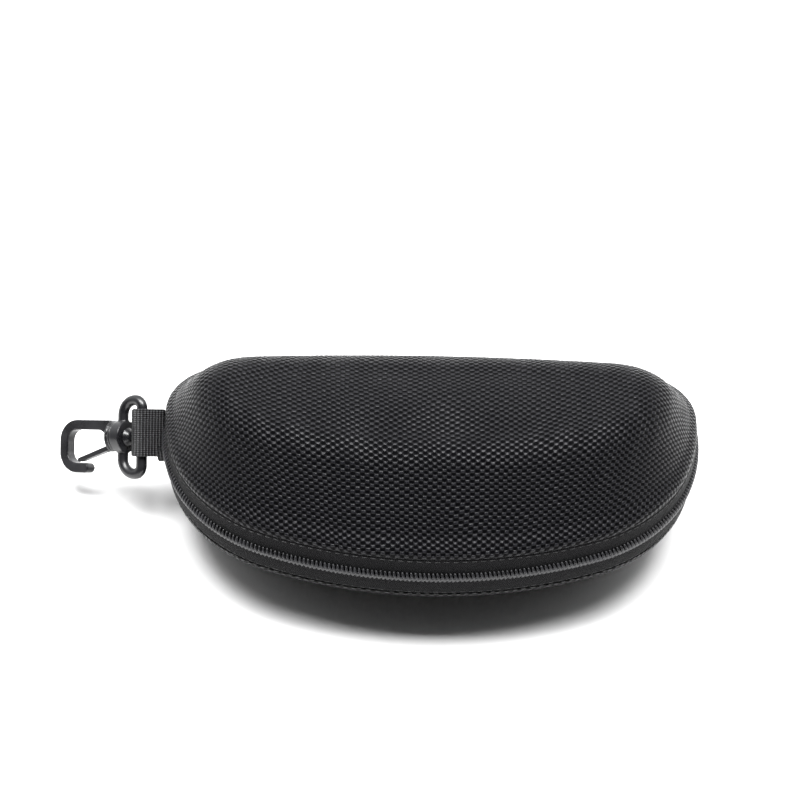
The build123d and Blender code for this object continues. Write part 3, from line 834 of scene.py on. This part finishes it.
strap_section = np.vstack([
    round_edge,
    np.column_stack([flat_rows, np.full(len(flat_rows), PLY / 2)]),
    -round_edge,
    np.column_stack([flat_rows[::-1], np.full(len(flat_rows), -PLY / 2)]),
])
webbing_strap = strap("webbing_strap", strap_path, ALONG_BAR, strap_section, WEBBING)
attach(webbing_strap, "lower_half")
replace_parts(webbing_strap, "webbing_tab")


def side_length(y):
    """Arc length at which the outline's left side passes y."""
    s = np.linspace(0, HALF_LENGTH, 2000)
    return 2 * HALF_LENGTH - np.interp(y, rim(s)[0][:, 1], s)


# Its end is sewn flat on the lower tape, below the zip's teeth.
foot_angle = np.linspace(-math.pi / 2, math.pi / 2, 9)
foot_profile = np.vstack([
    np.column_stack([-1.5 + 0.5 * (1 - np.cos(foot_angle)), 4.7 + 2.1 * np.sin(foot_angle)]),
    [[BAND_INSET, 6.8], [BAND_INSET, 2.6]],
])
FOOT_RUN = (side_length(12.7), side_length(7.7))
webbing_foot = rim_sweep("webbing_foot", *FOOT_RUN, foot_profile, WEBBING, step=0.5, side=-1)
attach(webbing_foot, "lower_half")

# =============================== frame parts with a better finish ===============================

for node, material in (
    ("top_core", BOARD),
    ("bottom_core", BOARD),
    ("zip_bottom_stop", LACQUER),
    ("zip_top_stops", LACQUER),
):
    part = frame["nodes"][node]
    part.data.materials.clear()
    part.data.materials.append(material)

for node, body, material, slot, voxel, rounds in (
    ("swivel_ring", "ring", HOOK_PLASTIC, "hook_plastic", 0.2, 6),
    ("snap_hook", "hook", HOOK_PLASTIC, "hook_plastic", 0.2, 6),
    ("hook_gate", "gate", HOOK_PLASTIC, "gate_plastic", 0.15, 4),
    ("slider_body", "slider", LACQUER, "zip_hardware", 0.12, 3),
    ("puller", "puller", LACQUER, "zip_hardware", 0.12, 3),
):
    piece = moulded_copy(node, material, voxel, rounds)
    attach(piece, body)
    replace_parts(piece, node)

# =============================== floor, light and camera ===============================

floor_material, floor_tree, floor_shader = new_material("pale_floor", 0.7)
floor_shader.inputs["Base Color"].default_value = colour("#f4f4f4")
floor_corners = np.array([[-2, -2, 0], [2, -2, 0], [2, 2, 0], [-2, 2, 0]]) / MM
floor = new_piece("floor", floor_corners, [[0, 1, 2, 3]], floor_material)


def area_light(name, place, aim, width, depth, power):
    """A soft box at a place, facing a point; metres and watts."""
    light = bpy.data.lights.new(name, "AREA")
    light.shape = "RECTANGLE"
    light.size = width
    light.size_y = depth
    light.energy = power
    lamp = bpy.data.objects.new(name, light)
    bpy.context.scene.collection.objects.link(lamp)
    lamp.location = place
    lamp.rotation_euler = (Vector(aim) - Vector(place)).to_track_quat("-Z", "Y").to_euler()


area_light("overhead_softbox", (0.0, 0.02, 1.2), (0, 0, 0), 1.2, 0.5, 46)

# The studio is a bright wall behind the case and a dark room in front of it.
world = bpy.data.worlds.new("studio")
world.use_nodes = True
room = world.node_tree
direction = add(room, "ShaderNodeTexCoord").outputs["Generated"]
behind = add(room, "ShaderNodeSeparateXYZ", [("Vector", direction)]).outputs[1]
bright = add(room, "ShaderNodeMapRange", [("Value", behind), ("From Min", -0.35), ("From Max", 0.45)])
shade = ramp(room, bright.outputs[0], [(0.0, "#2a2a2a"), (1.0, "#ffffff")])
room.links.new(shade, room.nodes["Background"].inputs["Color"])
room.nodes["Background"].inputs["Strength"].default_value = 1.4
bpy.context.scene.world = world
bpy.context.scene.view_settings.view_transform = "Standard"

# The camera stands in front and above, a long lens 0.72 m away, pitched 44 degrees down.
FOCAL_LENGTH = 107.2
PITCH = math.radians(44.0)
YAW = math.radians(0.944)
ROLL = math.radians(1.724)
DISTANCE = 715.7
AIM_X = -10.857
AIM_UP = 8.531

ahead = np.array([0.0, math.cos(PITCH), -math.sin(PITCH)])
up = np.array([0.0, math.sin(PITCH), math.cos(PITCH)])
right = np.array([1.0, 0.0, 0.0])
place = right * AIM_X + up * AIM_UP - ahead * DISTANCE
unturn = np.array([[math.cos(YAW), math.sin(YAW), 0], [-math.sin(YAW), math.cos(YAW), 0], [0, 0, 1]])
tilted_right = right * math.cos(ROLL) + up * math.sin(ROLL)
tilted_up = up * math.cos(ROLL) - right * math.sin(ROLL)
place = unturn @ place + np.array([0, WIDEST_Y, ZIP_Z])
lens = bpy.data.cameras.new("camera")
lens.lens = FOCAL_LENGTH
lens.clip_start = 0.01
camera = bpy.data.objects.new("camera", lens)
bpy.context.scene.collection.objects.link(camera)
axes = np.eye(4)
axes[:3, 0] = unturn @ tilted_right
axes[:3, 1] = unturn @ tilted_up
axes[:3, 2] = -(unturn @ ahead)
axes[:3, 3] = place * MM
camera.matrix_world = Matrix(axes.tolist())
bpy.context.scene.camera = camera
